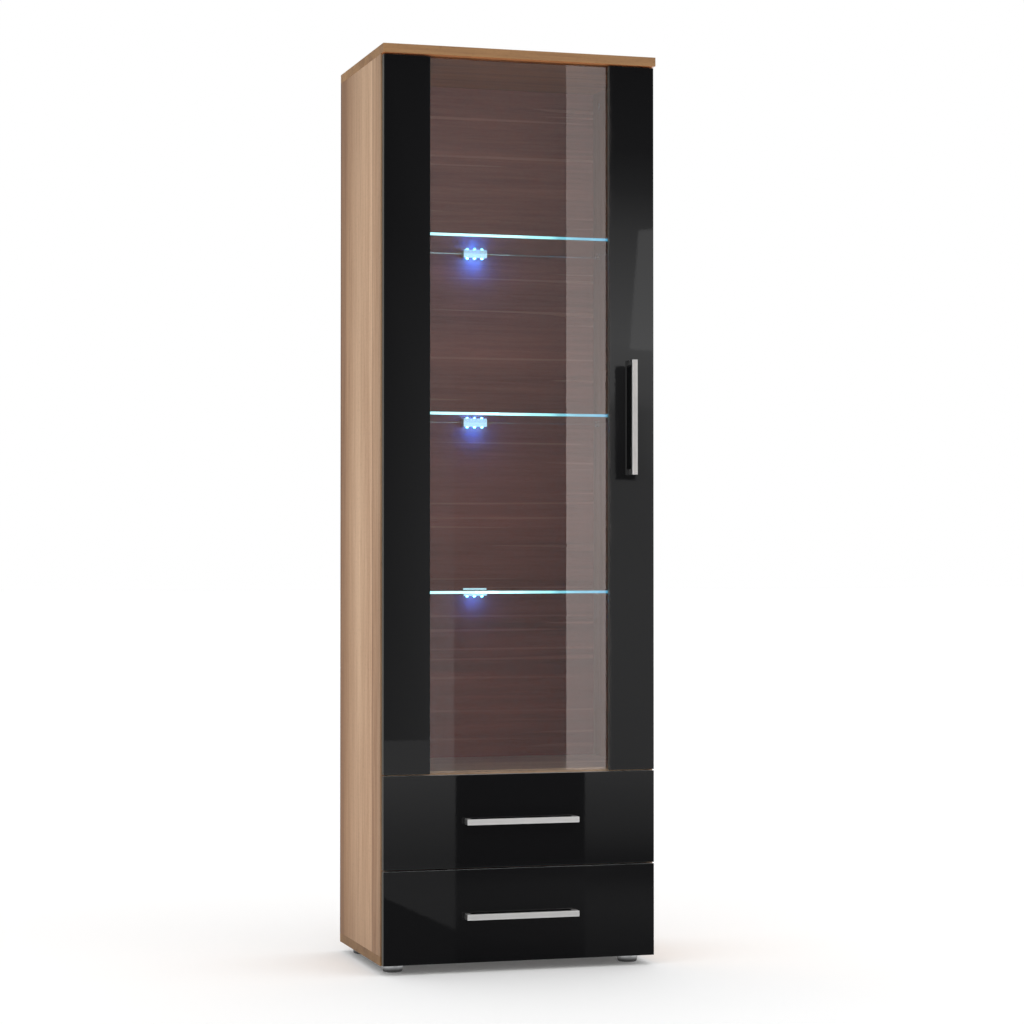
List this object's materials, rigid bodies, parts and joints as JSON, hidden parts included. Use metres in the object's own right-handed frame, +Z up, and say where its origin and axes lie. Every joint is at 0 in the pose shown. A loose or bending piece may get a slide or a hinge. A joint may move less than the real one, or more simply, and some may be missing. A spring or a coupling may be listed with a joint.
{
  "type": "china cabinet",
  "caption": "Tall free-standing display cabinet: hinged door with a full-height glass pane over lit glass shelves, above pull-out drawers with bar handles, on glide feet.",
  "frame": {"origin": "on the floor, at the centre of the overall box, handles included", "axes": "+Z up, +Y towards the wall, +X to the right as seen from the front"},
  "size_m": [0.6, 0.416, 1.962],
  "materials": {
    "walnut_decor": "walnut-pattern laminate, fine satin",
    "black_gloss": "black high gloss",
    "door_glass": "clear, faintly tinted, polished",
    "shelf_glass": "clear with ground edges that carry light",
    "satin_aluminium": "brushed satin",
    "zinc_steel": "bright zinc plating",
    "coated_steel": "white powder coat",
    "white_nylon": "moulded",
    "silver_plastic": "moulded, silver-coloured, satin",
    "dark_plastic": "moulded, fine texture",
    "led_lens": "clear moulded lens over a cool white light",
    "drawer_board": "pale grey laminate",
    "beech": "turned, fluted beech",
    "clear_rubber": "soft clear pad"
  },
  "bodies": {
    "carcass": {"top_panel": "walnut_decor", "base_panel": "walnut_decor", "left_side_panel": "walnut_decor", "right_side_panel": "walnut_decor", "back_panel": "walnut_decor", "display_floor": "walnut_decor", "dowels": "beech", "cam_bolts": "zinc_steel", "cam_locks": "zinc_steel", "carcass_screws": "zinc_steel", "hinge_arms": "zinc_steel", "hinge_plates": "zinc_steel", "wall_bracket": "zinc_steel", "foot_front_left": "silver_plastic", "foot_front_right": "silver_plastic", "foot_rear_left": "silver_plastic", "foot_rear_right": "silver_plastic", "glass_shelf_lower": "shelf_glass", "led_clip_lower": "satin_aluminium", "glass_shelf_middle": "shelf_glass", "led_clip_middle": "satin_aluminium", "glass_shelf_upper": "shelf_glass", "led_clip_upper": "satin_aluminium", "shelf_pins": "zinc_steel", "led_lenses": "led_lens", "led_driver": "dark_plastic", "cable_grommet": "dark_plastic", "cabinet_runners_lower": "coated_steel", "cabinet_runners_upper": "coated_steel"},
    "door": {"door_left_stile": "black_gloss", "door_right_stile": "black_gloss", "door_glass": "door_glass", "door_handle": "satin_aluminium", "glass_clips": "zinc_steel", "hinge_cups": "zinc_steel", "door_screws": "zinc_steel", "door_bumpers": "clear_rubber"},
    "hinge_links": {"hinge_links": "zinc_steel"},
    "drawer_lower": {"drawer_lower_front": "black_gloss", "drawer_lower_handle": "satin_aluminium", "drawer_lower_left_side": "drawer_board", "drawer_lower_right_side": "drawer_board", "drawer_lower_back": "drawer_board", "drawer_lower_bottom": "drawer_board", "drawer_lower_fixings": "zinc_steel", "drawer_runners_lower": "coated_steel"},
    "front_rollers_lower": {"front_rollers_lower": "white_nylon"},
    "rear_rollers_lower": {"rear_rollers_lower": "white_nylon"},
    "drawer_upper": {"drawer_upper_front": "black_gloss", "drawer_upper_handle": "satin_aluminium", "drawer_upper_left_side": "drawer_board", "drawer_upper_right_side": "drawer_board", "drawer_upper_back": "drawer_board", "drawer_upper_bottom": "drawer_board", "drawer_upper_fixings": "zinc_steel", "drawer_runners_upper": "coated_steel"},
    "front_rollers_upper": {"front_rollers_upper": "white_nylon"},
    "rear_rollers_upper": {"rear_rollers_upper": "white_nylon"}
  },
  "joints": [
    {"name": "door_hinge", "type": "hinge", "parent": "carcass", "child": "door", "pos_m": [-0.291, -0.18, 1.1675], "axis": [0, 0, -1], "range_deg": [0, 105]},
    {"name": "hinge_link_turn", "type": "hinge", "parent": "carcass", "child": "hinge_links", "pos_m": [-0.291, -0.18, 1.1675], "axis": [0, 0, -1], "range_deg": [0, 53]},
    {"name": "drawer_lower_slide", "type": "slide", "parent": "carcass", "child": "drawer_lower", "axis": [0, -1, 0], "range_m": [0, 0.26]},
    {"name": "front_rollers_lower_turn", "type": "hinge", "parent": "carcass", "child": "front_rollers_lower", "pos_m": [0, -0.148, 0.062], "axis": [1, 0, 0], "range_deg": [0, 1300]},
    {"name": "rear_rollers_lower_turn", "type": "hinge", "parent": "drawer_lower", "child": "rear_rollers_lower", "pos_m": [0, 0.146, 0.062], "axis": [1, 0, 0], "range_deg": [0, 1300]},
    {"name": "drawer_upper_slide", "type": "slide", "parent": "carcass", "child": "drawer_upper", "axis": [0, -1, 0], "range_m": [0, 0.26]},
    {"name": "front_rollers_upper_turn", "type": "hinge", "parent": "carcass", "child": "front_rollers_upper", "pos_m": [0, -0.148, 0.26], "axis": [1, 0, 0], "range_deg": [0, 1300]},
    {"name": "rear_rollers_upper_turn", "type": "hinge", "parent": "drawer_upper", "child": "rear_rollers_upper", "pos_m": [0, 0.146, 0.26], "axis": [1, 0, 0], "range_deg": [0, 1300]}
  ],
  "couplings": [
    {"joint": "hinge_link_turn", "follows": "door_hinge", "ratio": 0.5},
    {"joint": "front_rollers_lower_turn", "follows": "drawer_lower_slide", "rad_per_m": 86.957},
    {"joint": "rear_rollers_lower_turn", "follows": "drawer_lower_slide", "rad_per_m": 86.957},
    {"joint": "front_rollers_upper_turn", "follows": "drawer_upper_slide", "rad_per_m": 86.957},
    {"joint": "rear_rollers_upper_turn", "follows": "drawer_upper_slide", "rad_per_m": 86.957}
  ]
}
